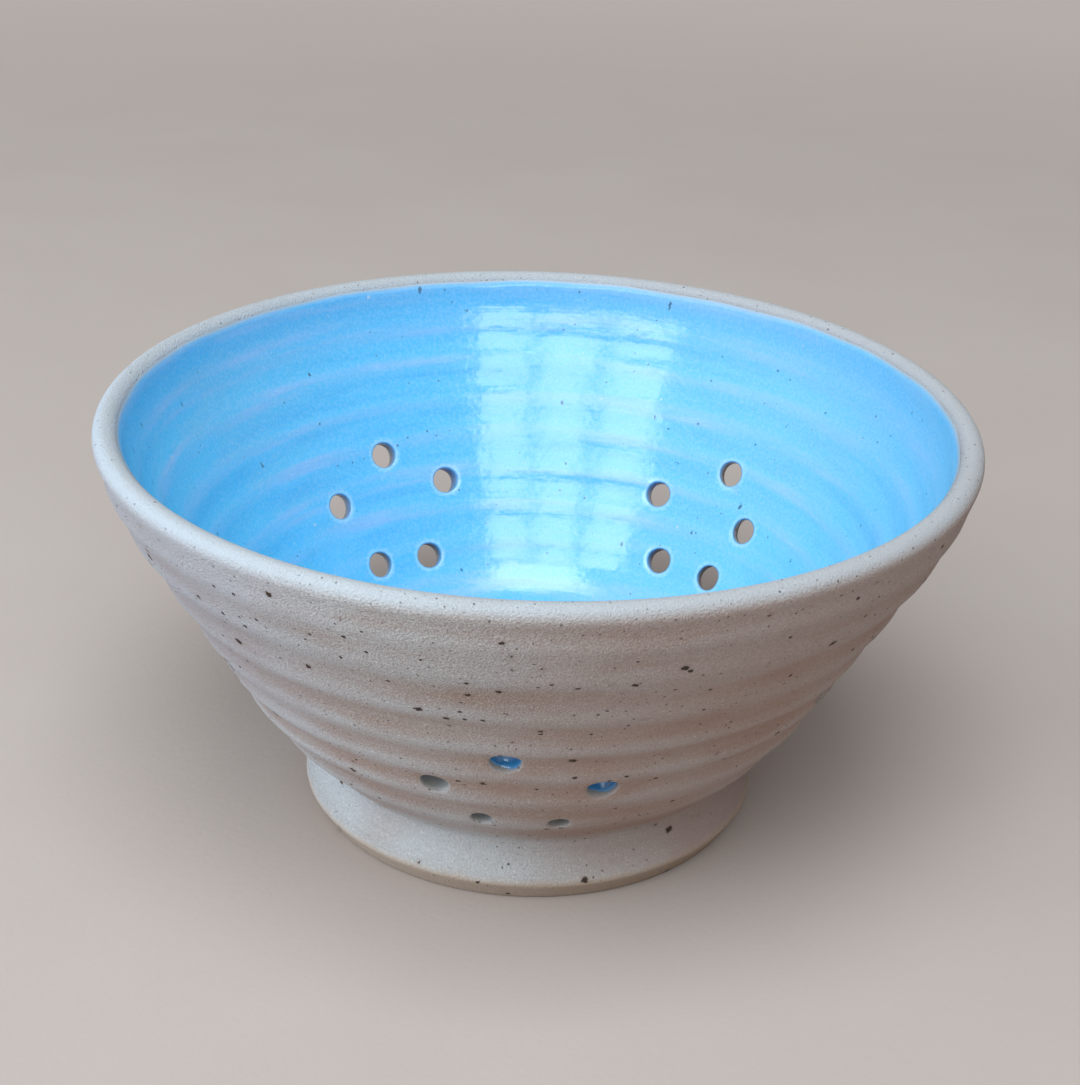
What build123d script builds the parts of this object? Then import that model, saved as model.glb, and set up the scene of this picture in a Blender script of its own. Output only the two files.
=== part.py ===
"""Berry colander bowl: a wheel-thrown stoneware bowl on a luted foot ring, glazed inside and pierced to drain.

The origin is on the bowl's axis, on the surface that the foot stands on, with +Z up.
Profiles are drawn as radius and height, and a lean is an angle away from upright.
"""

import os
from math import atan, cos, degrees, pi, radians, sin

from build123d import *

# Driving dimensions, in millimetres and degrees

# Outside of the bowl
bowl_height = 86.0
rim_radius = 87.5
wall = 5.0
rim_lean = 12.5
collar_height = 14.5
flare_lean = 30.0
belly_height = 20.0
waist_radius = 44.3
waist_round = 3.0
neck_height = 2.5

# Inside of the bowl
floor_thickness = 7.5
floor_round = 22.0

# Throwing rings on the outside, and the narrower groove under the lip
ring_count = 7
ring_depth = 0.6
lip_groove_width = 6.0
lip_groove_depth = 0.35

# Foot ring
foot_height = 10.5
foot_spread = 3.7
foot_edge_height = 5.0
foot_undercut = 3.2
foot_rest_width = 8.3
foot_edge_round = 1.5
foot_rest_round = 0.8
hollow_taper = 1.5

# Glaze
glaze_thickness = 0.4
bare_margin = 0.6

# Drain holes, in clusters whose holes stand on a small circle with one hole at the top
bore_diameter = 5.5
bore_overrun = 6.0
cluster_count = 5
holes_per_cluster = 5
cluster_radius = 13.4
cluster_height = 39.5
front_cluster_azimuth = -92.8
front_cluster_drop = 4.0


def outward(lean):
    """Unit vector square to a wall of that lean, pointing away from the axis."""
    return Vector(cos(radians(lean)), -sin(radians(lean)))


def upward(lean):
    """Unit vector along a wall of that lean, pointing up."""
    return Vector(sin(radians(lean)), cos(radians(lean)))


# Lip: half a circle as wide as the wall
lip_radius = wall / 2
lip_centre = Vector(rim_radius - lip_radius, bowl_height - lip_radius)
lip_outside = lip_centre + outward(rim_lean) * lip_radius
lip_crest = lip_centre + upward(rim_lean) * lip_radius

# Outside of the wall, from the lip down: collar arc, straight flare, belly arc
collar_radius = collar_height / (sin(radians(flare_lean)) - sin(radians(rim_lean)))
collar_centre = lip_outside - outward(rim_lean) * collar_radius
shoulder = collar_centre + outward(flare_lean) * collar_radius
waist = Vector(waist_radius, foot_height + neck_height)
flare_height = shoulder.Y - waist.Y - belly_height
knee = shoulder - upward(flare_lean) * (flare_height / cos(radians(flare_lean)))
waist_lean = 2 * degrees(atan((knee.X - waist.X) / belly_height)) - flare_lean

with BuildLine() as wall_outline:
    TangentArc(waist, knee, tangent=upward(waist_lean))
    Line(knee, shoulder)
    TangentArc(shoulder, lip_outside, tangent=upward(flare_lean))

outline = wall_outline.wire()
ring_pitch = (outline.length - lip_groove_width) / ring_count


def on_outline(run, depth=0.0):
    """Point that far up the outline from the waist, and that deep in the clay."""
    along = outline.tangent_at(run, PositionMode.LENGTH)
    return outline.position_at(run, PositionMode.LENGTH) + Vector(-along.Y, along.X) * depth


def finger_groove(start, width, depth):
    """One shallow groove that a finger leaves in the turning clay, between two crests on the outline."""
    return ThreePointArc(on_outline(start), on_outline(start + width / 2, depth), on_outline(start + width))


# Inside of the wall: flat floor, rounded corner, flare and collar, a wall's thickness from the outline
floor_height = foot_height + floor_thickness


def inner_shoulder(depth):
    """Top of the straight flare inside, that far in front of the bare clay."""
    return shoulder - outward(flare_lean) * (wall + depth)


def inner_line(depth, top_lean):
    """Inside of the bowl, that far in front of the bare clay, from the axis up to that lean of the collar."""
    top_of_flare = inner_shoulder(depth)
    floor_centre = Vector(0, floor_height + depth)
    flare_to_floor = (top_of_flare.Y - floor_centre.Y) / cos(radians(flare_lean))
    corner = top_of_flare - upward(flare_lean) * flare_to_floor
    top = collar_centre + outward(top_lean) * (collar_radius - wall - depth)
    FilletPolyline(floor_centre, corner, top_of_flare, radius=floor_round - depth)
    TangentArc(top_of_flare, top, tangent=upward(flare_lean))
    return floor_centre, top


# Drain holes: each bore is square to the flare of the wall
def bore_planes():
    """Planes on the inside wall whose Z runs out along each bore."""
    planes = []
    for cluster in range(cluster_count):
        azimuth = radians(front_cluster_azimuth) + cluster * 2 * pi / cluster_count
        height = cluster_height - (front_cluster_drop if cluster == 0 else 0)
        for hole in range(holes_per_cluster):
            turn = hole * 2 * pi / holes_per_cluster
            centre_climb = (height - inner_shoulder(0).Y) / cos(radians(flare_lean))
            on_wall = inner_shoulder(0) + upward(flare_lean) * (centre_climb + cluster_radius * cos(turn))
            swing = azimuth + cluster_radius * sin(turn) / on_wall.X
            way_out = outward(flare_lean)
            planes.append(
                Plane(
                    origin=(on_wall.X * cos(swing), on_wall.X * sin(swing), on_wall.Y),
                    z_dir=(way_out.X * cos(swing), way_out.X * sin(swing), way_out.Y),
                )
            )
    return planes


bores = bore_planes()
bore_length = wall + 2 * bore_overrun

# Thrown bowl: turned profile with the throwing rings, then the drain holes
with BuildPart() as thrown_bowl:
    with BuildSketch(Plane.XZ) as bowl_profile:
        with BuildLine():
            underside = Line((0, foot_height), (waist_radius, foot_height))
            Line(underside @ 1, waist)
            for ring in range(ring_count):
                finger_groove(ring * ring_pitch, ring_pitch, ring_depth)
            finger_groove(ring_count * ring_pitch, lip_groove_width, lip_groove_depth)
            floor_centre, lip_inside = inner_line(0, rim_lean)
            TangentArc(lip_outside, lip_crest, tangent=upward(rim_lean))
            TangentArc(lip_crest, lip_inside, tangent=-outward(rim_lean))
            Line(floor_centre, underside @ 0)
        make_face()
        fillet(bowl_profile.vertices().sort_by_distance(waist)[0], waist_round)
    revolve(axis=Axis.Z)
    with Locations(*bores):
        Cylinder(bore_diameter / 2, bore_length, mode=Mode.SUBTRACT)
thrown_bowl.part.label = "thrown_bowl"

# Foot ring: hollow inside, flaring to its widest edge outside, undercut to the ring it rests on
foot_edge = Vector(waist_radius + foot_spread, foot_edge_height)
rest_outer_radius = foot_edge.X - foot_undercut
rest_inner_radius = rest_outer_radius - foot_rest_width

with BuildPart() as foot_ring:
    with BuildSketch(Plane.XZ) as foot_profile:
        with BuildLine():
            seat = Line((rest_inner_radius - hollow_taper, foot_height), (waist_radius, foot_height))
            TangentArc(seat @ 1, foot_edge, tangent=(0, -1))
            Polyline(foot_edge, (rest_outer_radius, 0), (rest_inner_radius, 0), seat @ 0)
        make_face()
        resting_corners, edge_corner = foot_profile.vertices().group_by(Axis.Y)[:2]
        fillet(edge_corner, foot_edge_round)
        fillet(resting_corners, foot_rest_round)
    revolve(axis=Axis.Z)
foot_ring.part.label = "foot_ring"

# Glaze liner: an even coat on the inside, ending a little below the lip, pierced by the same bores
glaze_lean = rim_lean + degrees(bare_margin / (collar_radius - wall))

with BuildPart() as glaze_liner:
    with BuildSketch(Plane.XZ):
        with BuildLine():
            back_centre, back_top = inner_line(0, glaze_lean)
            face_centre, face_top = inner_line(glaze_thickness, glaze_lean)
            Line(back_centre, face_centre)
            Line(back_top, face_top)
        make_face()
    revolve(axis=Axis.Z)
    with Locations(*bores):
        Cylinder(bore_diameter / 2, bore_length, mode=Mode.SUBTRACT)
glaze_liner.part.label = "glaze_liner"

os.makedirs("parts", exist_ok=True)
export_step(thrown_bowl.part, "parts/thrown_bowl.step")
export_step(foot_ring.part, "parts/foot_ring.step")
export_step(glaze_liner.part, "parts/glaze_liner.step")
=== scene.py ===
"""Looks of the berry colander bowl: turned clay, foot and glaze, their materials, the light and the camera.

Lengths are in millimetres until a mesh is made in the frame's metres, and angles are in degrees.
Lamps and the camera are placed in metres.
Profiles are drawn as radius and height, and a lean is an angle away from upright.
"""

from collections import namedtuple
from math import atan, cos, degrees, pi, radians, sin, sqrt, tan, tau

import bpy
import numpy as np
from mathutils import Matrix, Vector


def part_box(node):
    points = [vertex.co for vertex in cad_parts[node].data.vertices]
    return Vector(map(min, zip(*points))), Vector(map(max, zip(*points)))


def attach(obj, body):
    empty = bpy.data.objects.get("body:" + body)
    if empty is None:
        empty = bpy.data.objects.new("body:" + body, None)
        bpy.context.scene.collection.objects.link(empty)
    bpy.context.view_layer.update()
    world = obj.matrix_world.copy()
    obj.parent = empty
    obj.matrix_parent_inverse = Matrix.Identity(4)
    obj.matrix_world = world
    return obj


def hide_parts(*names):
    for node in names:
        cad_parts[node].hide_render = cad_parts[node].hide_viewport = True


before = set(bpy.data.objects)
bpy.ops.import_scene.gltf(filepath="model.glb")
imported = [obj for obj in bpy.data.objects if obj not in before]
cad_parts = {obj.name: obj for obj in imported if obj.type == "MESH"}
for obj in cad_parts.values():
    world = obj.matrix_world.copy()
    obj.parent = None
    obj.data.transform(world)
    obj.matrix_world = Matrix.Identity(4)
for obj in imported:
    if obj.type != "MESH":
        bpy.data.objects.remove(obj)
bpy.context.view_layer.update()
MM = 0.001

# Sizes that the frame gives
bowl_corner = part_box("thrown_bowl")[1] / MM
rim_radius = bowl_corner.x
bowl_height = bowl_corner.z
foot_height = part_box("foot_ring")[1].z / MM

# Sizes of the bowl's profile, as in the part's source
wall = 5.0
rim_lean = 12.5
collar_height = 14.5
flare_lean = 30.0
belly_height = 20.0
waist_radius = 44.3
waist_round = 3.0
neck_height = 2.5
floor_thickness = 7.5
floor_round = 22.0
floor_lean = 90.0

# Sizes of the foot's profile, as in the part's source, with a slightly tighter round on its edge
foot_spread = 3.7
foot_edge_height = 5.0
foot_undercut = 3.2
foot_rest_width = 8.3
foot_edge_round = 1.2
foot_rest_round = 0.8
hollow_taper = 1.5

# Throwing rings: heights of their crests, and how deep the clay sinks between one crest and the next
outside_crests = np.array([13.0, 21.8, 30.8, 39.2, 47.6, 57.4, 68.3, 76.6, 83.0])
outside_depths = np.array([0.3, 0.5, 0.6, 0.62, 0.58, 0.52, 0.36, 0.26])
inside_crests = np.array([24.0, 31.0, 38.5, 45.5, 53.0, 60.0, 67.5, 75.0, 84.5])
inside_depths = np.array([0.18, 0.22, 0.26, 0.27, 0.27, 0.28, 0.25, 0.14])
ring_sharpness = 1.4

# How the rings wander up and down round the bowl, as waves with a count, a phase and a share,
# and how they swell, with a phase that shifts from one ring to the next
ring_wander = 0.45
ring_waves = ((1, 0.6, 1.0), (2, 2.1, 0.6))
ring_swell = 0.25
swell_count = 3
swell_shift = 1.7

# Spiral that a finger leaves on the floor of the bowl: pitch, depth, and the radii between which it shows
spiral_pitch = 7.0
spiral_depth = 0.2
spiral_start = 4.0
spiral_end = 34.0
spiral_ease = 9.0

# Glaze: its coat, how deep its edge tucks into the clay, how far that edge climbs the lip and over what width
# it thins out, and how it wanders, as waves too
glaze_thickness = 0.4
glaze_tuck = 0.12
glaze_edge_climb = 1.0
glaze_edge_width = 1.6
glaze_edge_wander = 0.09
glaze_edge_waves = ((5, 0.0, 1.0), (9, 1.0, 1.0), (23, 2.0, 1.0))

# How far the holes of a cluster slipped from their places under the potter's hand, across and up the wall,
# from the top hole on
front_slips = ((-1.0, -1.0), (-2.3, -1.3), (0.4, 0.8), (-0.7, -1.2), (3.4, -2.3))
far_right_slips = ((-1.4, 0.4), (1.5, -0.7), (0.6, 0.6), (-0.8, -0.6), (1.5, -0.6))
far_left_slips = ((-0.3, -0.6), (-1.1, 1.1), (2.0, -0.7), (-1.0, -0.4), (1.2, -0.2))

# Drain holes, by cluster: azimuth, height on the inside wall, radius of the cluster, turn of its top hole,
# how far sideways its bores drift on their way out, and the slips of its holes
clusters = [
    (-91.8, 35.4, 13.7, 4.0, 0.0, front_slips),
    (-19.6, 39.5, 13.4, -2.0, 1.0, far_left_slips),
    (50.2, 39.7, 13.0, 3.4, 1.5, far_right_slips),
    (123.3, 39.4, 13.5, 1.4, -0.7, far_left_slips),
    (195.2, 39.5, 13.4, 5.0, 0.5, far_right_slips),
]

# Bores: their radii, from the top hole on in the front cluster, the rounds on their edges, the coat of glaze
# in them, and how far the rim of a hole is marked
front_bore_radii = (2.95, 2.7, 2.05, 2.05, 2.95)
other_bore_radius = 3.0
outer_bore_round = 0.45
inner_bore_round = 0.6
glaze_bore_wall = 0.18
glaze_bore_round = 0.5
rim_width = 0.4

# How far the glaze runs out through the holes of a cluster, from its top hole on
front_glaze_runs = (4.0, 1.3, 1.0, 1.1, 3.9)
other_glaze_runs = (2.6, 3.6, 2.1, 3.0, 3.8)
glaze_run_wander = 0.3

# Mesh: columns round the axis, lengths of the rows along a profile, points on an arc or in a search,
# radius of the fan that closes a piece on the axis, and the angle from which an edge is sharp
columns = 420
wall_row = 1.0
lip_row = 0.55
fine_row = 0.3
floor_row = 2.0
hidden_row = 5.0
arc_steps = 60
search_steps = 3000
pole_radius = 2.0
sharp_angle = 40.0

# Squares of the grid that a hole takes up, and those that it bends, each way from its centre
hole_squares = 4
hole_reach = 7

# Loops that line a bore: angles on its rounded edges, and places along its clay and along its glaze
round_angles = np.radians([30.0, 60.0, 90.0])
clay_loops = (0.2, 0.6)
glaze_loops = (0.5, 0.9)


def outward(lean):
    """Unit vector square to a wall of that lean, pointing away from the axis."""
    return np.array([cos(radians(lean)), -sin(radians(lean))])


def upward(lean):
    """Unit vector along a wall of that lean, pointing up."""
    return np.array([sin(radians(lean)), cos(radians(lean))])


def arc(centre, radius, first_lean, last_lean):
    """Points round a centre, from one lean to another. A negative radius gives the hollow side."""
    leans = np.radians(np.linspace(first_lean, last_lean, arc_steps))
    return np.asarray(centre) + radius * np.stack([np.cos(leans), -np.sin(leans)], axis=1)


def corner_arc(corner, radius, first_lean, last_lean):
    """Round of that radius on the corner between two straight runs."""
    half = radians(first_lean - last_lean) / 2
    bisector = outward((first_lean + last_lean) / 2)
    return arc(np.asarray(corner) - bisector * radius / cos(half), radius, first_lean, last_lean)


def smooth(share):
    """Eases from 0 to 1."""
    share = np.clip(share, 0, 1)
    return share * share * (3 - 2 * share)


def waves(turn, terms):
    """Sum of waves round a circle, each with its count, phase and share."""
    return sum(share * np.sin(count * turn + phase) for count, phase, share in terms)


class Profile:
    """The outline of a turned piece, in named stretches, by the distance run along it."""

    def __init__(self, stretches):
        self.starts = {}
        points = []
        rows = []
        run = 0.0
        for name, line, row in stretches:
            line = np.asarray(line, float)
            length = np.hypot(*np.diff(line, axis=0).T).sum()
            count = max(1, round(length / row))
            self.starts[name] = run
            points.extend(line[:-1])
            rows.extend(run + length * np.arange(count) / count)
            run += length
        points.append(line[-1])
        self.rows = np.array(rows + [run])
        self.points = np.array(points)
        self.runs = np.concatenate([[0], np.cumsum(np.hypot(*np.diff(self.points, axis=0).T))])
        heading = np.gradient(self.points, self.runs, axis=0)
        normals = np.stack([heading[:, 1], -heading[:, 0]], axis=1)
        self.normals = normals / np.linalg.norm(normals, axis=1, keepdims=True)

    def at(self, run):
        """Radius and height there, and the two parts of the normal."""
        values = np.hstack([self.points, self.normals]).T
        return [np.interp(run, self.runs, value) for value in values]

    def crossing(self, point, first, last):
        """Run, from one stretch's start to another's, where a bore through that point meets the wall."""
        runs = np.linspace(self.starts[first], self.starts[last], search_steps)
        radius, height = self.at(runs)[:2]
        climb = (np.stack([radius, height], axis=1) - point) @ upward(flare_lean)
        order = np.argsort(climb)
        return np.interp(0, climb[order], runs[order])


# Lines of the bowl, worked out as in the part's source
lip_radius = wall / 2
lip_centre = np.array([rim_radius - lip_radius, bowl_height - lip_radius])
collar_radius = collar_height / (sin(radians(flare_lean)) - sin(radians(rim_lean)))
collar_centre = lip_centre + outward(rim_lean) * (lip_radius - collar_radius)
shoulder = collar_centre + outward(flare_lean) * collar_radius
waist = np.array([waist_radius, foot_height + neck_height])
flare_height = shoulder[1] - waist[1] - belly_height
knee = shoulder - upward(flare_lean) * (flare_height / cos(radians(flare_lean)))
belly_half_turn = degrees(atan((knee[0] - waist[0]) / belly_height)) - flare_lean
belly_radius = np.linalg.norm(knee - waist) / (2 * sin(radians(belly_half_turn)))
belly_centre = knee - outward(flare_lean) * belly_radius
waist_lean = flare_lean + 2 * belly_half_turn
waist_reach = waist_round * tan(radians(waist_lean) / 2)
waist_centre = (waist_radius + waist_round, waist[1] - waist_reach)
belly_start_lean = waist_lean - degrees(waist_reach / belly_radius)
inner_shoulder = shoulder - outward(flare_lean) * wall
floor_height = foot_height + floor_thickness
corner_drop = inner_shoulder[1] - floor_height - floor_round * (1 - sin(radians(flare_lean)))
inner_knee = inner_shoulder - upward(flare_lean) * (corner_drop / cos(radians(flare_lean)))
corner_centre = inner_knee - outward(flare_lean) * floor_round

bowl = Profile([
    ("underside", [(pole_radius, foot_height), (waist_radius, foot_height)], hidden_row),
    ("neck", [(waist_radius, foot_height), (waist_radius, waist_centre[1])], wall_row),
    ("waist", arc(waist_centre, -waist_round, 0, waist_lean), lip_row),
    ("belly", arc(belly_centre, belly_radius, belly_start_lean, flare_lean), wall_row),
    ("flare", [knee, shoulder], wall_row),
    ("collar", arc(collar_centre, collar_radius, flare_lean, rim_lean), wall_row),
    ("lip", arc(lip_centre, lip_radius, rim_lean, rim_lean - 180), lip_row),
    ("inner_collar", arc(collar_centre, collar_radius - wall, rim_lean, flare_lean), wall_row),
    ("inner_flare", [inner_shoulder, inner_knee], wall_row),
    ("inner_corner", arc(corner_centre, floor_round, flare_lean, floor_lean), wall_row),
    ("floor", [(corner_centre[0], floor_height), (pole_radius, floor_height)], floor_row),
])

# Lines of the foot, worked out as in the part's source
foot_edge = np.array([waist_radius + foot_spread, foot_edge_height])
rest_outer = foot_edge[0] - foot_undercut
rest_inner = rest_outer - foot_rest_width
chamfer_lean = degrees(atan(foot_undercut / foot_edge_height))
hollow_lean = 180 - degrees(atan(hollow_taper / foot_height))
flank_drop = foot_height - foot_edge_height
flank_radius = (foot_spread**2 + flank_drop**2) / (2 * foot_spread)
flank_centre = np.array([waist_radius + flank_radius, foot_height])
# The edge's round touches the chamfer and the hollow flank
edge_base = foot_edge - outward(chamfer_lean) * foot_edge_round
to_flank = edge_base - flank_centre
along = to_flank @ upward(chamfer_lean)
edge_slide = along + sqrt(along**2 - to_flank @ to_flank + (flank_radius + foot_edge_round) ** 2)
edge_centre = edge_base - upward(chamfer_lean) * edge_slide
flank_way = flank_centre - edge_centre
flank_lean = -degrees(atan(flank_way[1] / flank_way[0]))
edge_arc = arc(edge_centre, foot_edge_round, chamfer_lean, flank_lean)
outer_rest_arc = corner_arc((rest_outer, 0), foot_rest_round, floor_lean, chamfer_lean)
inner_rest_arc = corner_arc((rest_inner, 0), foot_rest_round, hollow_lean, floor_lean)

foot = Profile([
    ("rest", [inner_rest_arc[-1], outer_rest_arc[0]], wall_row),
    ("outer_rest", outer_rest_arc, fine_row),
    ("chamfer", [outer_rest_arc[-1], edge_arc[0]], lip_row),
    ("edge", edge_arc, fine_row),
    ("flank", arc(flank_centre, -flank_radius, flank_lean, 0), lip_row),
    ("seat", [(waist_radius, foot_height), (rest_inner - hollow_taper, foot_height)], hidden_row),
    ("hollow", [(rest_inner - hollow_taper, foot_height), inner_rest_arc[0]], wall_row),
    ("inner_rest", inner_rest_arc, fine_row),
])


def finger_rings(height, azimuth, crests, depths):
    """How far the fingers sank into the clay there: nothing on a crest, and most halfway to the next one."""
    height = height + ring_wander * waves(azimuth, ring_waves)
    ring = np.clip(np.searchsorted(crests, height) - 1, 0, len(depths) - 1)
    share = np.clip((height - crests[ring]) / (crests[ring + 1] - crests[ring]), 0, 1)
    swell = 1 + ring_swell * np.sin(swell_count * azimuth + swell_shift * ring)
    return depths[ring] * swell * np.sin(pi * share) ** ring_sharpness


def throwing_spiral(radius, azimuth):
    """How far a finger sank into the floor of the bowl on its way out from the middle."""
    shown = smooth((radius - spiral_start) / spiral_ease) * smooth((spiral_end - radius) / spiral_ease)
    return spiral_depth * shown * np.sin(pi * radius / spiral_pitch - azimuth / 2) ** 2


def bowl_grooves(azimuth, run):
    """How far the bowl's surface is sunk by the throwing rings, and its floor by the spiral."""
    radius, height = bowl.at(run)[:2]
    outside = finger_rings(height, azimuth, outside_crests, outside_depths)
    inside = finger_rings(height, azimuth, inside_crests, inside_depths)
    depth = np.where(run < bowl.starts["lip"], outside, inside)
    floored = depth + throwing_spiral(radius, azimuth)
    depth = np.where(run > bowl.starts["inner_corner"], floored, depth)
    on_lip = (run >= bowl.starts["lip"]) & (run <= bowl.starts["inner_collar"])
    return np.where(on_lip, 0, depth)


glaze_start = bowl.starts["inner_collar"] - glaze_edge_climb


def glaze_cover(azimuth, run):
    """How thick the glaze lies: it thins out at its edge, and tucks itself into the clay there."""
    wander = glaze_edge_wander * waves(azimuth, glaze_edge_waves)
    share = smooth((run - glaze_start + wander) / glaze_edge_width)
    return (glaze_thickness + glaze_tuck) * share - glaze_tuck


def nothing(azimuth, run):
    """No grooves, or no cover."""
    return 0 * run


# A hole in a grid: its centre, which way the rows go, the wall's radius, and the turns and points of its edge
Hole = namedtuple("Hole", "azimuth run up wall_radius turns loop")


class Turning:
    """A surface turned from a profile as a grid of points, with holes in it and strips that line them."""

    def __init__(self, profile, rows, grooves, cover):
        self.profile = profile
        self.rows = rows
        self.grooves = grooves
        self.cover = cover
        self.step = tau / columns
        self.azimuth, self.run = np.meshgrid(np.arange(columns) * self.step, rows)
        self.rim = np.zeros(self.run.shape)
        self.solid = np.ones((len(rows) - 1, columns), bool)
        self.lining = []
        self.lining_rim = []
        self.lining_bore = []
        self.strips = []
        self.point_count = self.run.size

    def surface(self, azimuth, run):
        """Points of the surface."""
        radius, height, out, up = self.profile.at(run)
        rise = self.cover(azimuth, run) - self.grooves(azimuth, run)
        radius = radius + out * rise
        return np.stack([radius * np.cos(azimuth), radius * np.sin(azimuth), height + up * rise], axis=-1)

    def pierce(self, azimuth, run, radius, up):
        """Bends the grid round a hole and opens it. Rows climb where up is 1, and go down where it is -1."""
        azimuth %= tau
        row = np.argmin(abs(self.rows - run))
        column = round(azimuth / self.step)
        down, across = np.mgrid[-hole_reach:hole_reach + 1, -hole_reach:hole_reach + 1]
        rows = row + down
        places = (column + across) % columns
        square = np.maximum(abs(down), abs(across))
        turn = np.arctan2(up * down, across) % tau
        wall_radius = self.profile.at(run)[0]
        x = ((column + across) * self.step - azimuth) * wall_radius
        y = up * (self.rows[rows] - run)
        bend = smooth((hole_reach - square) / (hole_reach - hole_squares))
        circle = radius + (square - hole_squares) * wall_row
        x += bend * (circle * np.cos(turn) - x)
        y += bend * (circle * np.sin(turn) - y)
        self.azimuth[rows, places] = azimuth + x / wall_radius
        self.run[rows, places] = run + up * y
        self.rim[rows, places] = np.exp(-np.clip(np.hypot(x, y) - radius, 0, None) / rim_width)
        inside = slice(row - hole_squares, row + hole_squares)
        self.solid[inside, (column + np.arange(-hole_squares, hole_squares)) % columns] = False
        edge = square == hole_squares
        order = np.argsort(turn[edge])
        loop = (rows * columns + places)[edge][order]
        return Hole(azimuth, run, up, wall_radius, turn[edge][order], loop)

    def circle(self, hole, radius):
        """Points of the surface that far round a hole's centre, one for each point of its loop."""
        across = radius * np.cos(hole.turns) / hole.wall_radius
        climb = radius * np.sin(hole.turns) * hole.up
        return self.surface(hole.azimuth + across, hole.run + climb)

    def add_loop(self, points, rim=0.0, bore=0.0):
        """Adds a loop of points to a lining and returns their numbers."""
        numbers = self.point_count + np.arange(len(points))
        self.lining.append(points)
        self.lining_rim.append(np.full(len(points), rim))
        self.lining_bore.append(np.full(len(points), bore))
        self.point_count += len(points)
        return numbers

    def line(self, loops):
        """Joins each loop of a lining to the next."""
        for near, far in zip(loops, loops[1:]):
            self.strips.append(np.stack([near, np.roll(near, -1), np.roll(far, -1), far], axis=1))

    def close_pole(self, row):
        """Closes the grid's first or last row over the axis."""
        numbers = (row % len(self.rows)) * columns + np.arange(columns)
        centre = self.surface(self.azimuth[row], self.run[row]).mean(axis=0)
        middle = np.full(columns, self.add_loop(centre[None])[0])
        ring = numbers[::-1] if row == 0 else numbers
        self.strips.append(np.stack([ring, np.roll(ring, -1), middle], axis=1))

    def piece(self, name):
        """Makes the mesh. Its points know how sunk and how covered they are, and if they line a hole."""
        points = self.surface(self.azimuth, self.run).reshape(-1, 3)
        points = np.vstack([points, *self.lining])
        plain = np.zeros(len(points) - self.run.size)
        marks = {
            "sunk": np.concatenate([self.grooves(self.azimuth, self.run).ravel(), plain]),
            "cover": np.concatenate([self.cover(self.azimuth, self.run).ravel(), plain + glaze_thickness]),
            "rim": np.concatenate([self.rim.ravel(), *self.lining_rim]),
            "bore": np.concatenate([np.zeros(self.run.size), *self.lining_bore]),
        }
        row, place = np.nonzero(self.solid)
        corner = row * columns + place
        beside = row * columns + (place + 1) % columns
        grid = np.stack([corner, beside, beside + columns, corner + columns], axis=1)
        used = np.zeros(len(points), bool)
        for faces in (grid, *self.strips):
            used[faces] = True
        number = np.cumsum(used) - 1
        faces = [face for part in (grid, *self.strips) for face in number[part].tolist()]
        mesh = bpy.data.meshes.new(name)
        mesh.from_pydata((points[used] * MM).tolist(), [], faces)
        mesh.shade_smooth()
        mesh.set_sharp_from_angle(angle=radians(sharp_angle))
        for label, values in marks.items():
            attribute = mesh.attributes.new(label, "FLOAT", "POINT")
            attribute.data.foreach_set("value", values[used].astype(np.float32))
        piece = bpy.data.objects.new(name, mesh)
        bpy.context.scene.collection.objects.link(piece)
        return piece


def hole_places():
    """Azimuth, point on the inside wall, sideways drift, radius and run of glaze of every drain hole."""
    for number, (azimuth, height, radius, turn, drift, slips) in enumerate(clusters):
        front = number == 0
        runs = front_glaze_runs if front else other_glaze_runs
        centre_climb = (height - inner_shoulder[1]) / cos(radians(flare_lean))
        for hole, (across, rise) in enumerate(slips):
            angle = radians(90 + turn + hole * 360 / len(slips))
            point = inner_shoulder + upward(flare_lean) * (centre_climb + radius * sin(angle) + rise)
            swing = (radius * cos(angle) + across) / point[0]
            bore_radius = front_bore_radii[hole] if front else other_bore_radius
            yield radians(azimuth) + swing, point, drift - wall * swing, bore_radius, runs[hole]


def edge_round(angle, radius, edge):
    """Radius and depth on the rounded edge of a bore."""
    return radius + edge * (1 - sin(angle)), edge * (1 - cos(angle))


def bore_way(clay, outer, inner):
    """Unit vector out along a bore."""
    way = clay.surface(outer.azimuth, outer.run) - clay.surface(inner.azimuth, inner.run)
    return way / np.linalg.norm(way)


def line_bore(clay, outer, inner, way_out, bore_radius):
    """Lines a bore with clay, from its rounded outer edge to its rounded inner edge."""
    outer_loops = [outer.loop]
    inner_loops = [inner.loop]
    for angle in round_angles:
        radius, depth = edge_round(angle, bore_radius, outer_bore_round)
        points = clay.circle(outer, radius) - way_out * depth
        outer_loops.append(clay.add_loop(points, 1.0, sin(angle) / 2))
        radius, depth = edge_round(angle, bore_radius, inner_bore_round)
        points = clay.circle(inner, radius) + way_out * depth
        inner_loops.append(clay.add_loop(points, 1.0, 1.0))
    outer_end = clay.circle(outer, bore_radius) - way_out * outer_bore_round
    inner_end = clay.circle(inner, bore_radius) + way_out * inner_bore_round
    middles = [clay.add_loop(outer_end + (inner_end - outer_end) * share, 1.0, 1.0) for share in clay_loops]
    clay.line([*outer_loops, *middles, *reversed(inner_loops)])


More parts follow.
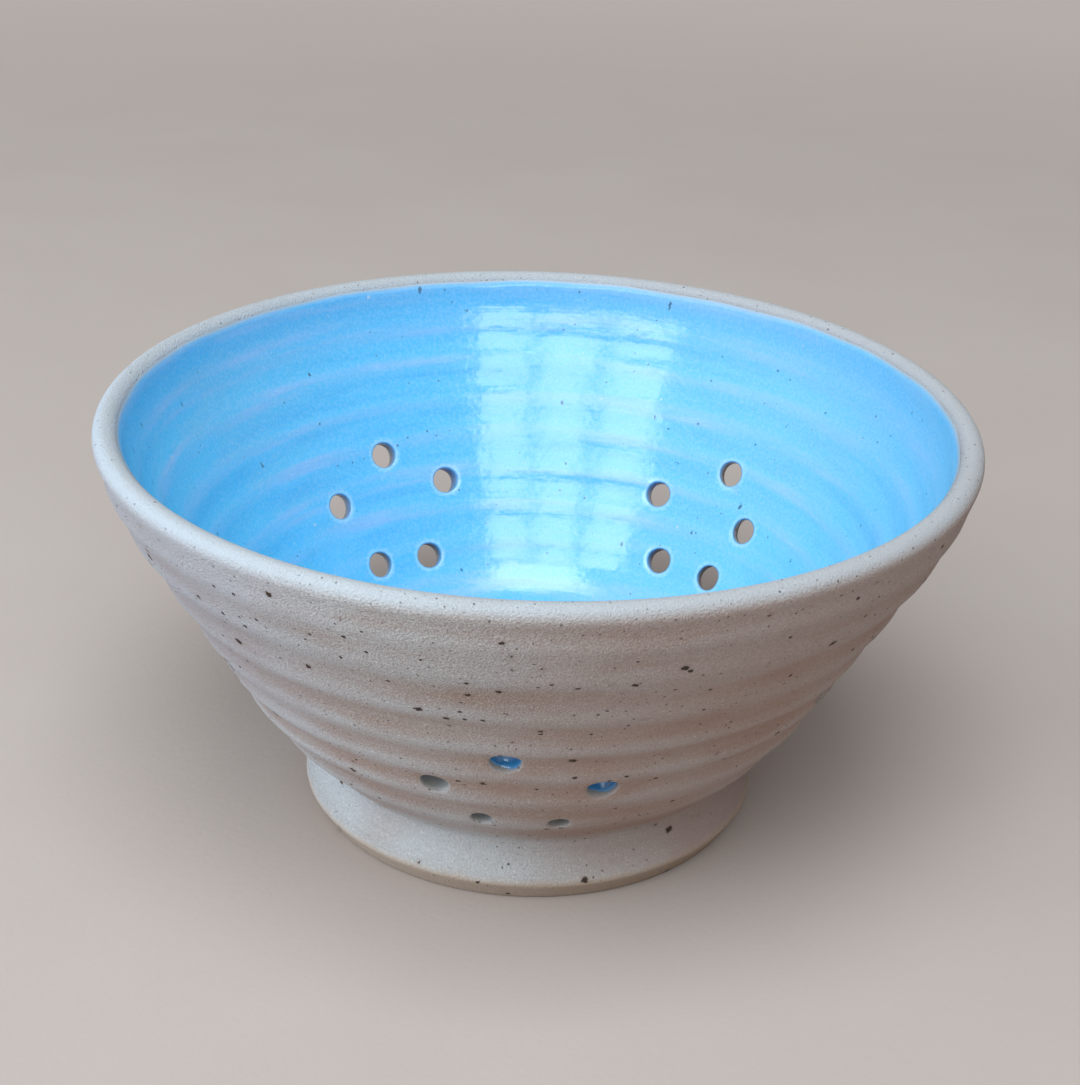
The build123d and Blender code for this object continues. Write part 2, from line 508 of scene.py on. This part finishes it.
def line_sleeve(glaze, hole, way_out, bore_radius, glaze_run):
    """Lines a bore with glaze, over its rounded inner edge and as far out as the glaze ran."""
    sleeve_radius = bore_radius - glaze_bore_wall
    loops = [hole.loop]
    for angle in round_angles:
        radius, depth = edge_round(angle, sleeve_radius, glaze_bore_round)
        points = glaze.circle(hole, radius) + way_out * depth
        loops.append(glaze.add_loop(points, cos(angle), sin(angle) / 2))
    wander = glaze_run_wander * waves(hole.turns, ((2, hole.azimuth, 1.0), (3, glaze_run, 1.0)))
    length = glaze_run - glaze_bore_round + wander
    sleeve = [(share, sleeve_radius) for share in glaze_loops]
    for share, radius in (*sleeve, (1.0, bore_radius + glaze_tuck)):
        depth = glaze_bore_round + share * length
        points = glaze.circle(hole, radius) + depth[:, None] * way_out
        loops.append(glaze.add_loop(points, 0.0, 1.0))
    glaze.line([loop[::-1] for loop in loops])


glaze_rows = bowl.rows[bowl.rows > glaze_start - glaze_edge_width]
clay_turning = Turning(bowl, bowl.rows, bowl_grooves, nothing)
glaze_turning = Turning(bowl, glaze_rows, bowl_grooves, glaze_cover)
foot_turning = Turning(foot, foot.rows, nothing, nothing)

for azimuth, point, drift, bore_radius, glaze_run in hole_places():
    outer_run = bowl.crossing(point, "belly", "lip")
    inner_run = bowl.crossing(point, "inner_collar", "floor")
    outer_azimuth = azimuth + drift / bowl.at(outer_run)[0]
    outer_hole = clay_turning.pierce(outer_azimuth, outer_run, bore_radius + outer_bore_round, 1)
    inner_hole = clay_turning.pierce(azimuth, inner_run, bore_radius + inner_bore_round, -1)
    way_out = bore_way(clay_turning, outer_hole, inner_hole)
    line_bore(clay_turning, outer_hole, inner_hole, way_out, bore_radius)
    sleeve_edge = bore_radius - glaze_bore_wall + glaze_bore_round
    glazed_hole = glaze_turning.pierce(azimuth, inner_run, sleeve_edge, -1)
    line_sleeve(glaze_turning, glazed_hole, way_out, bore_radius, glaze_run)
clay_turning.close_pole(0)
clay_turning.close_pole(-1)
glaze_turning.close_pole(-1)

bowl_clay = clay_turning.piece("bowl_clay")
bowl_glaze = glaze_turning.piece("bowl_glaze")
bowl_foot = foot_turning.piece("bowl_foot")


def colour(red, green, blue):
    """A colour as a screen shows it, 0 to 255, in the renderer's linear values by the sRGB curve."""
    parts = np.array([red, green, blue]) / 255
    linear = np.where(parts <= 0.04045, parts / 12.92, ((parts + 0.055) / 1.055) ** 2.4)
    return (*linear.tolist(), 1.0)


# Cloudy patterns: how finely they are broken up, the span of their values and the middle of it,
# and the size of those that make a speck ragged
fine_detail = 3.0
soft_detail = 2.0
noise_span = (0.2, 0.8)
noise_middle = (0.3, 0.7)
ragged_size = 0.5


class Surface:
    """Builds the nodes of one material. Sizes in its patterns are in millimetres."""

    def __init__(self, name):
        self.material = bpy.data.materials.new(name)
        self.material.use_nodes = True
        self.tree = self.material.node_tree
        self.shader = self.tree.nodes["Principled BSDF"]
        metres = self.node("TexCoord").outputs["Object"]
        self.place = self.node("VectorMath", {0: metres, "Scale": 1 / MM}, operation="SCALE").outputs[0]
        self.side, _, self.height = self.node("SeparateXYZ", {0: self.place}).outputs

    def node(self, kind, inputs=None, **settings):
        """Adds a node with its settings, and links or sets its inputs."""
        node = self.tree.nodes.new("ShaderNode" + kind)
        for setting, value in settings.items():
            setattr(node, setting, value)
        for socket, value in (inputs or {}).items():
            self.feed(node.inputs[socket], value)
        return node

    def feed(self, socket, value):
        """Links a value to a socket, or sets it there."""
        if isinstance(value, bpy.types.NodeSocket):
            self.tree.links.new(value, socket)
        else:
            socket.default_value = value

    def math(self, operation, first, second):
        """One operation on two values."""
        return self.node("Math", {0: first, 1: second}, operation=operation).outputs[0]

    def add(self, first, second):
        """One value on top of another."""
        return self.math("ADD", first, second)

    def times(self, first, second):
        """A value scaled by another."""
        return self.math("MULTIPLY", first, second)

    def larger(self, first, second):
        """The larger of two values."""
        return self.math("MAXIMUM", first, second)

    def attribute(self, label):
        """A value that the mesh carries."""
        return self.node("Attribute", attribute_name=label).outputs["Fac"]

    def between(self, value, low, high, first=0.0, last=1.0):
        """Eases from the first value to the last while a value goes from low to high."""
        inputs = {"Value": value, 1: low, 2: high, 3: first, 4: last}
        return self.node("MapRange", inputs, interpolation_type="SMOOTHSTEP").outputs["Result"]

    def stretched(self, stretch):
        """Places in which a pattern is drawn out along some axes."""
        shrink = [1 / part for part in stretch]
        return self.node("VectorMath", {0: self.place, 1: shrink}, operation="MULTIPLY").outputs[0]

    def noise(self, size, detail=soft_detail, stretch=(1, 1, 1)):
        """Soft cloudy pattern."""
        inputs = {"Vector": self.stretched(stretch), "Scale": 1 / size, "Detail": detail}
        return self.node("TexNoise", inputs).outputs["Fac"]

    def specks(self, spacing, smallest, largest, share, softness=0.12, ragged=0.0, stretch=(1, 1, 1)):
        """Specks of mixed sizes at some of the points of a loose lattice, round or with a ragged edge."""
        inputs = {"Vector": self.stretched(stretch), "Scale": 1 / spacing}
        lattice = self.node("TexVoronoi", inputs)
        chance, mix, _ = self.node("SeparateColor", {0: lattice.outputs["Color"]}).outputs
        distance = self.times(lattice.outputs["Distance"], spacing)
        if ragged:
            distance = self.add(distance, self.between(self.noise(ragged_size), *noise_span, -ragged, ragged))
        radius = self.between(self.times(mix, mix), 0.0, 1.0, smallest, largest)
        inside = self.between(self.math("SUBTRACT", radius, distance), -softness, softness)
        return self.times(inside, self.math("LESS_THAN", chance, share))

    def blend(self, factor, first, last):
        """Colour between two others. A Mix node has its colour sockets at these numbers."""
        return self.node("Mix", {0: factor, 6: first, 7: last}, data_type="RGBA").outputs[2]

    def bump(self, height, depth, below=None, strength=1.0):
        """Relief of that depth in millimetres, on top of another relief."""
        inputs = {"Height": height, "Distance": depth * MM, "Strength": strength}
        if below is not None:
            inputs["Normal"] = below
        return self.node("Bump", inputs).outputs["Normal"]

    def dress(self, piece, tint, roughness, normal):
        """Gives the piece this material."""
        self.feed(self.shader.inputs["Base Color"], tint)
        self.feed(self.shader.inputs["Roughness"], roughness)
        self.feed(self.shader.inputs["Normal"], normal)
        piece.data.materials.append(self.material)


# Colours of the clay
clay_crest = colour(173, 170, 168)
# Warm, darker clay: the clay's own tone in lines and patches, and painted shade in the grooves
clay_warm_and_shaded = colour(155, 136, 125)
# Pale, cool clay for the painted light at the waist and on the foot
clay_lit_pale = colour(188, 192, 194)
# Pale, cool clay for the painted light on the lip
clay_lit_lip = colour(188, 199, 207)
# Darker tan for the painted shade on the foot's chamfer
clay_chamfer_shade = colour(170, 146, 124)
# Warmer, darker clay for the painted shade on the right side
clay_side_shade = colour(156, 121, 107)
# Grey, cool clay for the painted cool light on the left side
clay_cool_light = colour(167, 164, 170)
# Darker grey for the painted shade inside the bores
clay_bore_shade = colour(132, 131, 127)
quartz = colour(220, 214, 206)
iron = colour(46, 30, 22)
rust = colour(128, 96, 76)

# Patterns of the clay: their sizes, how they are drawn out along the rings, and the depths of their relief
line_size = 1.1
line_stretch = (14, 14, 1)
line_depth = 0.08
patch_size = 20.0
patch_stretch = (2, 2, 1)
sand_size = 0.4
sand_depth = 0.38

# How much of the warm, darker colour the grooves bring as painted shade and the lines and patches as the
# clay's own tone, how it grows over the belly, and how painted light fades it towards the lip, by height
full_groove = 0.6
groove_shade_share = 0.75
line_share = 0.15
patch_shares = (-0.35, 0.6)
belly_heights = (30.0, 45.0)
belly_share = 0.1
upper_light_heights = (55.0, 72.0)
upper_light_share = 0.3

# Sand: where its noise shows as pale or rusty grains, how strongly, and how rough it feels, by height
pale_sand = (0.5, 0.7)
rusty_sand = (0.5, 0.3)
sandy_heights = (45.0, 75.0)
sandy_shares = (0.28, 0.4)
rough_heights = (40.0, 78.0)
rough_shares = (0.7, 1.0)
bore_relief = 0.2

# Quartz grains: they show less in a groove, and are smoother than the clay
grain_specks = dict(spacing=0.8, smallest=0.06, largest=0.22, share=0.4)
grain_groove = 0.7
grain_shares = (0.6, 0.25)
clay_roughness = 0.92
grain_roughness = 0.6


def stoneware(name):
    """Sandy clay with its patches, throwing lines and quartz grains, painted shade in its grooves and painted
    light towards the lip: surface, tint, roughness and relief.
    """
    clay = Surface(name)
    groove = clay.between(clay.attribute("sunk"), 0.0, full_groove)
    lines = clay.noise(line_size, fine_detail, line_stretch)
    patches = clay.noise(patch_size, fine_detail, patch_stretch)
    sand = clay.noise(sand_size, fine_detail)
    # Painted shade: warmer, darker colour in the grooves; painted light: paler towards the lip
    warm_tone_and_shade = clay.add(groove, clay.between(lines, *noise_middle, -line_share, line_share))
    warm_tone_and_shade = clay.add(clay.times(warm_tone_and_shade, groove_shade_share), clay.between(patches, *noise_middle, *patch_shares))
    warm_tone_and_shade = clay.add(warm_tone_and_shade, clay.between(clay.height, *belly_heights, 0.0, belly_share))
    warm_tone_and_shade = clay.add(warm_tone_and_shade, clay.between(clay.height, *upper_light_heights, 0.0, -upper_light_share))
    tint = clay.blend(warm_tone_and_shade, clay_crest, clay_warm_and_shaded)
    sandy = clay.between(clay.height, *sandy_heights, *sandy_shares)
    tint = clay.blend(clay.times(clay.between(sand, *pale_sand), sandy), tint, quartz)
    tint = clay.blend(clay.times(clay.between(sand, *rusty_sand), sandy), tint, rust)
    grains = clay.specks(**grain_specks)
    shown = clay.between(groove, 0.0, grain_groove, *grain_shares)
    tint = clay.blend(clay.times(grains, shown), tint, quartz)
    roughness = clay.between(grains, 0.0, 1.0, clay_roughness, grain_roughness)
    rough = clay.between(clay.height, *rough_heights, *rough_shares)
    rough = clay.times(rough, clay.between(clay.attribute("bore"), 0.0, 1.0, 1.0, bore_relief))
    relief = clay.bump(sand, sand_depth, clay.bump(lines, line_depth), rough)
    return clay, tint, roughness, relief


# Iron: its dust, its specks and the rust round the large ones, how they are drawn out along the rings,
# where they end below the lip, and how dark they are
dust_specks = dict(spacing=1.5, smallest=0.12, largest=0.26, softness=0.06, ragged=0.05)
small_specks = dict(spacing=2.5, smallest=0.16, largest=0.4, softness=0.07, ragged=0.12)
large_specks = dict(spacing=4.3, smallest=0.24, largest=0.66, softness=0.08, ragged=0.2)
halo_specks = dict(spacing=4.3, smallest=0.45, largest=0.9, softness=0.4, ragged=0.2)
speck_stretch = (1.3, 1.3, 1)
speck_heights = (82.5, 80.5)
halo_share = 0.35
dust_share = 0.7
iron_share = 0.95


def iron_specks(clay, tint, share):
    """Iron that burnt out of the clay: dust, specks, larger ones along the rings, and rust round those."""
    dust = clay.specks(share=share, **dust_specks)
    small = clay.specks(share=share, stretch=speck_stretch, **small_specks)
    large = clay.specks(share=share, stretch=speck_stretch, **large_specks)
    halo = clay.specks(share=share, stretch=speck_stretch, **halo_specks)
    below_lip = clay.between(clay.height, *speck_heights)
    tint = clay.blend(clay.times(halo, clay.times(below_lip, halo_share)), tint, rust)
    coarse = clay.times(clay.larger(small, large), below_lip)
    spots = clay.larger(clay.times(dust, dust_share), coarse)
    return clay.blend(clay.times(spots, iron_share), tint, iron)


# Painted shade, warmer and darker, on the right side: the sides between which it grows and its share, each on
# the foot and up on the wall, and how unevenly it drifts
side_shade_heights = (12.0, 18.0)
side_shade_starts = (0.0, -60.0)
side_shade_ends = (50.0, 60.0)
side_shade_shares = (0.75, 0.5)
side_shade_patch_size = 30.0
side_shade_drift = 20.0


def shade_right_side(clay, tint):
    """Painted shade, warmer and darker, on the right side: all over the wall, and more sharply on the foot.
    """
    drift = clay.between(clay.noise(side_shade_patch_size), *noise_span, -side_shade_drift, side_shade_drift)
    start = clay.between(clay.height, *side_shade_heights, *side_shade_starts)
    end = clay.between(clay.height, *side_shade_heights, *side_shade_ends)
    share = clay.between(clay.height, *side_shade_heights, *side_shade_shares)
    return clay.blend(clay.between(clay.add(clay.side, drift), start, end, 0.0, share), tint, clay_side_shade)


# Bowl: where painted cool light makes it grey on the left side, where painted light makes it pale on the lip
# and at the waist, and its iron, and the painted shade in its bores
cool_light_sides = (-25.0, -65.0)
cool_light_heights = (25.0, 50.0)
cool_light_share = 0.5
lip_light_heights = (83.0, 85.5)
lip_light_share = 0.6
waist_light_heights = (16.0, 12.5)
pale_light_share = 0.2
bowl_iron = 0.65
clay_bore_shade_share = 0.85


def dress_bowl_clay(piece):
    """Bare bowl: painted shade, warm, in the grooves and on the right side, painted cool light, grey, on the
    left side, painted light, pale, on lip and waist, and painted shade in the bores.
    """
    clay, tint, roughness, relief = stoneware("bowl_stoneware")
    # Painted shade on the right side
    tint = shade_right_side(clay, tint)
    # Painted cool light: greyer, cooler clay on the left side, which faces the lamps
    away = clay.between(clay.side, *cool_light_sides, 0.0, cool_light_share)
    tint = clay.blend(clay.times(away, clay.between(clay.height, *cool_light_heights)), tint, clay_cool_light)
    # Painted light: the lip, which faces up, paler and cooler
    tint = clay.blend(clay.between(clay.height, *lip_light_heights, 0.0, lip_light_share), tint, clay_lit_lip)
    # Painted light: paler clay at the waist, as on the foot
    tint = clay.blend(clay.between(clay.height, *waist_light_heights, 0.0, pale_light_share), tint, clay_lit_pale)
    tint = iron_specks(clay, tint, bowl_iron)
    # Painted shade: darker grey clay inside the bores, darkest deep in them
    tint = clay.blend(clay.times(clay.attribute("bore"), clay_bore_shade_share), tint, clay_bore_shade)
    clay.dress(piece, tint, roughness, relief)


# Foot: where painted shade makes its chamfer a darker tan, how unevenly and how strongly, and its iron
chamfer_shade_heights = (6.4, 4.6)
chamfer_shade_patch_size = 6.0
chamfer_shade_share = 0.8
foot_iron = 0.25


def dress_foot(piece):
    """Foot paler all over with painted light, painted shade on its right side, and darker tan painted shade
    on the chamfer, which faces down.
    """
    clay, tint, roughness, relief = stoneware("foot_stoneware")
    # Painted shade on the right side
    tint = shade_right_side(clay, tint)
    # Painted light: the whole foot paler
    tint = clay.blend(pale_light_share, tint, clay_lit_pale)
    # Painted shade: darker tan on the chamfer, which faces down
    chamfer_shade = clay.between(clay.add(clay.height, clay.noise(chamfer_shade_patch_size)), *chamfer_shade_heights)
    tint = clay.blend(clay.times(chamfer_shade, chamfer_shade_share), tint, clay_chamfer_shade)
    tint = iron_specks(clay, tint, foot_iron)
    clay.dress(piece, tint, roughness, relief)


# Colours of the glaze
glaze_blue = colour(79, 185, 232)
glaze_deep = colour(56, 168, 226)
glaze_lilac = colour(146, 182, 228)
# Paler blue for the painted light on the right inside wall
glaze_light_veil = colour(160, 212, 238)
glaze_pale = colour(186, 220, 238)
# Dark blue for the painted shade inside the bores
glaze_bore_shade = colour(46, 116, 166)
glaze_thin = colour(164, 176, 186)
glaze_speck = colour(40, 84, 110)
glaze_pinhole = colour(200, 206, 216)

# Patterns of the glaze: their sizes, how they are drawn out along the rings, and the depths of their relief
streak_size = 2.4
streak_stretch = (12, 12, 1)
streak_depth = 0.1
cloud_size = 18.0
cloud_stretch = (1.5, 1.5, 1)
mottle_size = 0.65
mottle_depth = 0.015
ripple_size = 4.0
ripple_stretch = (1.3, 1.3, 1)
ripple_depth = 0.15

# Where the glaze is thin, on crests, in streaks and in clouds, where it pools in grooves, where painted shade
# makes it deep below the lip, where painted light makes it paler on the right side, and where it is mottled
full_ring = 0.28
thin_rings = (0.75, 0.0)
thin_clouds = (0.35, 0.65)
thin_shares = (0.3, 0.75)
pooled_rings = (0.3, 1.0)
pooled_streaks = (0.6, 0.35)
lip_shade_heights = (70.0, 83.0)
pool_and_shade_share = 0.55
light_veil_sides = (-50.0, 60.0)
light_veil_share = 0.26
mottle_range = (0.35, 0.7)
mottle_share = 0.17


def glaze_body(glaze, streaks, mottle):
    """Blue, deep where the glaze pools in grooves and with painted shade below the lip, lilac where it is
    thin over the rings, paler with painted light on the right side: tint and thinness.
    """
    clouds = glaze.noise(cloud_size, fine_detail, cloud_stretch)
    ring = glaze.between(glaze.attribute("sunk"), 0.0, full_ring)
    thin = glaze.times(glaze.between(ring, *thin_rings), glaze.between(streaks, *noise_middle))
    thin = glaze.times(thin, glaze.between(clouds, *thin_clouds, *thin_shares))
    pool_and_shade = glaze.times(glaze.between(ring, *pooled_rings), glaze.between(streaks, *pooled_streaks))
    # Painted shade: deeper blue below the lip, which shades the wall under it
    pool_and_shade = glaze.larger(pool_and_shade, glaze.between(glaze.height, *lip_shade_heights))
    tint = glaze.blend(glaze.times(pool_and_shade, pool_and_shade_share), glaze_blue, glaze_deep)
    tint = glaze.blend(thin, tint, glaze_lilac)
    # Painted light: paler glaze on the right side, which faces the lamps
    tint = glaze.blend(glaze.between(glaze.side, *light_veil_sides, 0.0, light_veil_share), tint, glaze_light_veil)
    tint = glaze.blend(glaze.between(mottle, *mottle_range, 0.0, mottle_share), tint, glaze_pale)
    return tint, thin


# Edges of the glaze: pale round the holes, colourless where its cover is thin, and painted shade, dark blue,
# in the bores
rim_mottle = (-0.2, 0.1)
rim_range = (0.2, 1.0)
rim_share = 0.4
thin_cover = 0.36
thin_cover_share = 0.95
glaze_bore_shade_share = 0.9


def glaze_edges(glaze, tint, mottle):
    """The tint with the glaze's edges at the holes and under the lip, and painted shade in the bores."""
    pale_rim = glaze.add(glaze.attribute("rim"), glaze.between(mottle, *noise_middle, *rim_mottle))
    tint = glaze.blend(glaze.between(pale_rim, *rim_range, 0.0, rim_share), tint, glaze_pale)
    bare = glaze.between(glaze.attribute("cover"), thin_cover, 0.0, 0.0, thin_cover_share)
    tint = glaze.blend(bare, tint, glaze_thin)
    # Painted shade: dark blue glaze deep in the bores
    return glaze.blend(glaze.times(glaze.attribute("bore"), glaze_bore_shade_share), tint, glaze_bore_shade)


# Spots in the glaze: their sizes, how strongly they show, and how the runs are drawn out downwards
pinhole_specks = dict(spacing=4.5, smallest=0.12, largest=0.45, share=0.3, softness=0.15, ragged=0.15)
dot_specks = dict(spacing=2.4, smallest=0.12, largest=0.3, share=0.5, softness=0.08, ragged=0.05)
run_specks = dict(spacing=4.8, smallest=0.22, largest=0.5, share=0.6, softness=0.1, ragged=0.15)
pinhole_share = 0.6
dot_share = 0.65
run_share = 0.85
run_stretch = (1, 1, 3)


def glaze_spots(glaze, tint):
    """The tint with pinholes, dots of iron and longer runs of it."""
    pinholes = glaze.specks(**pinhole_specks)
    tint = glaze.blend(glaze.times(pinholes, pinhole_share), tint, glaze_pinhole)
    dots = glaze.specks(**dot_specks)
    runs = glaze.specks(stretch=run_stretch, **run_specks)
    spots = glaze.larger(glaze.times(dots, dot_share), glaze.times(runs, run_share))
    return glaze.blend(spots, tint, glaze_speck)


# Gloss of the glaze: its index of refraction, and its roughness, which grows at the edge and where it is thin
glaze_ior = 1.75
gloss_range = (0.11, 0.19)
dull_covers = (0.39, 0.3)
dull_edge = 0.6
dull_thin = 0.45


def dress_glaze(piece):
    """Glossy blue glaze with its streaks, edges and spots, over a faint relief."""
    glaze = Surface("blue_glaze")
    streaks = glaze.noise(streak_size, fine_detail, streak_stretch)
    mottle = glaze.noise(mottle_size, fine_detail)
    ripple = glaze.noise(ripple_size, stretch=ripple_stretch)
    tint, thin = glaze_body(glaze, streaks, mottle)
    tint = glaze_spots(glaze, glaze_edges(glaze, tint, mottle))
    dull = glaze.between(glaze.attribute("cover"), *dull_covers, 0.0, dull_edge)
    dull = glaze.larger(dull, glaze.times(thin, dull_thin))
    roughness = glaze.larger(glaze.between(mottle, *noise_middle, *gloss_range), dull)
    relief = glaze.bump(ripple, ripple_depth, glaze.bump(mottle, mottle_depth))
    relief = glaze.bump(streaks, streak_depth, relief)
    glaze.shader.inputs["IOR"].default_value = glaze_ior
    glaze.dress(piece, tint, roughness, relief)


dress_bowl_clay(bowl_clay)
dress_foot(bowl_foot)
dress_glaze(bowl_glaze)

for piece, node, slot in (
    (bowl_clay, "thrown_bowl", "stoneware"),
    (bowl_foot, "foot_ring", "stoneware"),
    (bowl_glaze, "glaze_liner", "blue_glaze"),
):
    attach(piece, "root")
    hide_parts(node)

# Floor: plain and pale, faintly clouded and grainy, and fading into the backdrop
floor_reach = 1200.0
floor_tints = (colour(180, 167, 160), colour(187, 175, 168))
floor_cloud_size = 60.0
floor_grain_size = 1.5
floor_grain_depth = 0.05
floor_roughness = 0.9
fade_range = (400.0, 900.0)


def make_floor():
    """A square floor that turns clear with the distance from the bowl."""
    near = -floor_reach * MM
    far = floor_reach * MM
    mesh = bpy.data.meshes.new("studio_floor")
    mesh.from_pydata([(near, near, 0), (far, near, 0), (far, far, 0), (near, far, 0)], [], [(0, 1, 2, 3)])
    piece = bpy.data.objects.new("studio_floor", mesh)
    bpy.context.scene.collection.objects.link(piece)
    floor = Surface("studio_floor")
    tint = floor.blend(floor.noise(floor_cloud_size), *floor_tints)
    relief = floor.bump(floor.noise(floor_grain_size), floor_grain_depth)
    floor.dress(piece, tint, floor_roughness, relief)
    distance = floor.node("VectorMath", {0: floor.place}, operation="LENGTH").outputs["Value"]
    faded = floor.between(distance, *fade_range)
    clear = floor.node("BsdfTransparent").outputs[0]
    shown = floor.node("MixShader", {0: faded, 1: floor.shader.outputs[0], 2: clear}).outputs[0]
    floor.feed(floor.tree.nodes["Material Output"].inputs["Surface"], shown)
    return piece


studio_floor = make_floor()

# Light: soft daylight, from lamps that all face the bowl
lamp_target = Vector((0, 0, 0.05))
daylight = (0.86, 0.945, 1.0)
cool_daylight = (0.58, 0.78, 1.0)

# Window: panes in one plane, which the far wall mirrors, with their widths, shifts to the side and radiances
window_azimuth = -99.7
window_elevation = 20.0
window_distance = 1.5
pane_height = 0.8
pane_rise = 0.58
panes = (
    ("window_left", 0.502, 0.556, 3.6),
    ("window_middle", 0.454, 0.0, 3.6),
    ("window_right", 0.552, -0.607, 3.5),
)

# Other lamps: azimuth, elevation, distance, width and height, radiance, tint, and if the glaze mirrors them
soft_lamps = (
    ("window_top", -92.0, 71.5, 1.9, (1.0, 1.1), 4.7, daylight, True),
    ("window_haze", -142.0, 42.0, 1.9, (0.6, 1.2), 2.3, daylight, False),
    ("window_side", -178.0, 30.0, 1.9, (1.5, 0.9), 1.6, daylight, False),
    ("overhead", -84.0, 68.0, 1.9, (1.8, 1.4), 1.35, daylight, False),
    ("soft_left", -168.0, 0.0, 1.2, (1.2, 0.1), 29.0, cool_daylight, False),
)


def add_lamp(name, azimuth, elevation, distance, size, radiance, tint, mirrored, shift=(0.0, 0.0)):
    """A soft rectangular lamp in a plane that faces the bowl, shifted sideways and up in that plane."""
    lamp = bpy.data.lights.new(name, "AREA")
    lamp.shape = "RECTANGLE"
    lamp.size, lamp.size_y = size
    lamp.energy = radiance * pi * lamp.size * lamp.size_y
    lamp.color = tint
    stand = bpy.data.objects.new(name, lamp)
    way = Vector((
        cos(radians(elevation)) * cos(radians(azimuth)),
        cos(radians(elevation)) * sin(radians(azimuth)),
        sin(radians(elevation)),
    ))
    sideways = Vector((-sin(radians(azimuth)), cos(radians(azimuth)), 0))
    rise = way.cross(sideways)
    stand.location = lamp_target + way * distance + sideways * shift[0] + rise * shift[1]
    stand.rotation_euler = way.to_track_quat("Z", "Y").to_euler()
    stand.visible_camera = False
    stand.visible_glossy = mirrored
    bpy.context.scene.collection.objects.link(stand)


window_place = (window_azimuth, window_elevation, window_distance)
for name, width, sideways, radiance in panes:
    add_lamp(name, *window_place, (width, pane_height), radiance, daylight, True, (sideways, pane_rise))
for lamp in soft_lamps:
    add_lamp(*lamp)

# Sky, which lights the bowl from all round, and the plain backdrop that shows and is mirrored instead of it
sky_tint = colour(246, 244, 242)
sky_strength = 0.25
backdrop_tint = colour(180, 173, 169)

world = bpy.data.worlds.new("studio")
world.use_nodes = True
bpy.context.scene.world = world
world_nodes = world.node_tree.nodes
links = world.node_tree.links
sky = world_nodes["Background"]
sky.inputs["Color"].default_value = sky_tint
sky.inputs["Strength"].default_value = sky_strength
backdrop = world_nodes.new("ShaderNodeBackground")
backdrop.inputs["Color"].default_value = backdrop_tint
path = world_nodes.new("ShaderNodeLightPath")
shown = path.outputs["Is Camera Ray"]
for ray in ("Is Glossy Ray", "Is Transmission Ray"):
    either = world_nodes.new("ShaderNodeMath")
    either.operation = "MAXIMUM"
    links.new(shown, either.inputs[0])
    links.new(path.outputs[ray], either.inputs[1])
    shown = either.outputs[0]
seen = world_nodes.new("ShaderNodeMixShader")
links.new(shown, seen.inputs[0])
links.new(sky.outputs[0], seen.inputs[1])
links.new(backdrop.outputs[0], seen.inputs[2])
links.new(seen.outputs[0], world_nodes["World Output"].inputs["Surface"])

# Camera, fitted to the photo's rim, wall and foot
camera_place = Vector((0, -0.38834, 0.24190))
camera_pitch = 25.565
camera_yaw = 0.140
camera_roll = 1.959
camera_lens = 69.70
camera_sensor = 36.0

camera_data = bpy.data.cameras.new("camera")
camera_data.lens = camera_lens
camera_data.sensor_width = camera_sensor
camera = bpy.data.objects.new("camera", camera_data)
turn = Matrix.Rotation(radians(-camera_yaw), 4, "Z") @ Matrix.Rotation(radians(90 - camera_pitch), 4, "X")
camera.matrix_world = Matrix.Translation(camera_place) @ turn @ Matrix.Rotation(radians(camera_roll), 4, "Z")
bpy.context.scene.collection.objects.link(camera)
bpy.context.scene.camera = camera
bpy.context.scene.view_settings.view_transform = "Standard"
